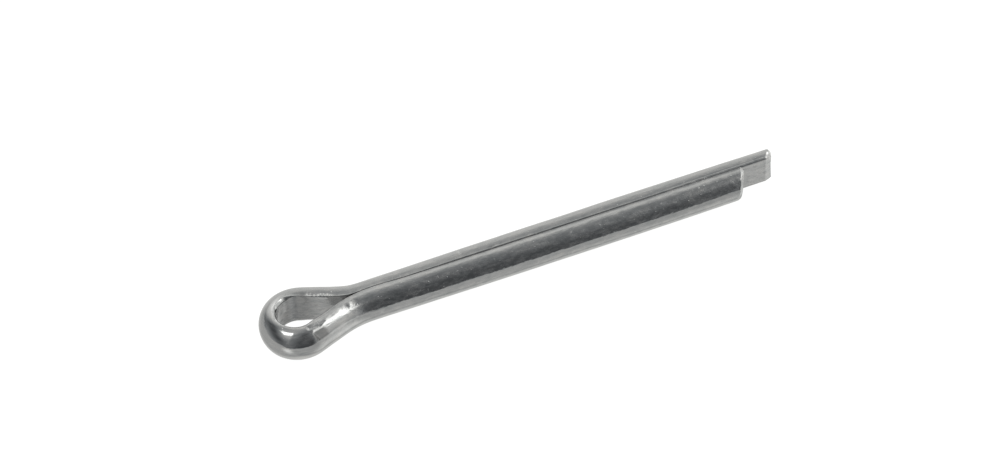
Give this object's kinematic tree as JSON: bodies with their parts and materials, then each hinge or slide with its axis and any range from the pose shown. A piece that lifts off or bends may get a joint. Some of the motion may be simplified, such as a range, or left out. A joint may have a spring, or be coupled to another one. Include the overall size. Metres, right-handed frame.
{
  "type": "cotter pin",
  "caption": "Split cotter pin: half-round steel wire folded into an eye with two legs of unequal length, put through a cross hole and spread to lock a nut or pin.",
  "frame": {"origin": "on the shank axis, in the plane under the eye from which the nominal length is measured", "axes": "+X along the shank from the eye to the leg ends, +Z along the axis of the hole through the eye, up as the pin lies on a table, and Y across the two flat faces, with the short leg on the -Y side"},
  "size_m": [0.0642, 0.0088, 0.0046],
  "materials": {
    "zinc_plated_steel": "bright drawn wire with a thin zinc plating"
  },
  "bodies": {
    "root": {"cotter_pin": "zinc_plated_steel"}
  },
  "joints": []
}
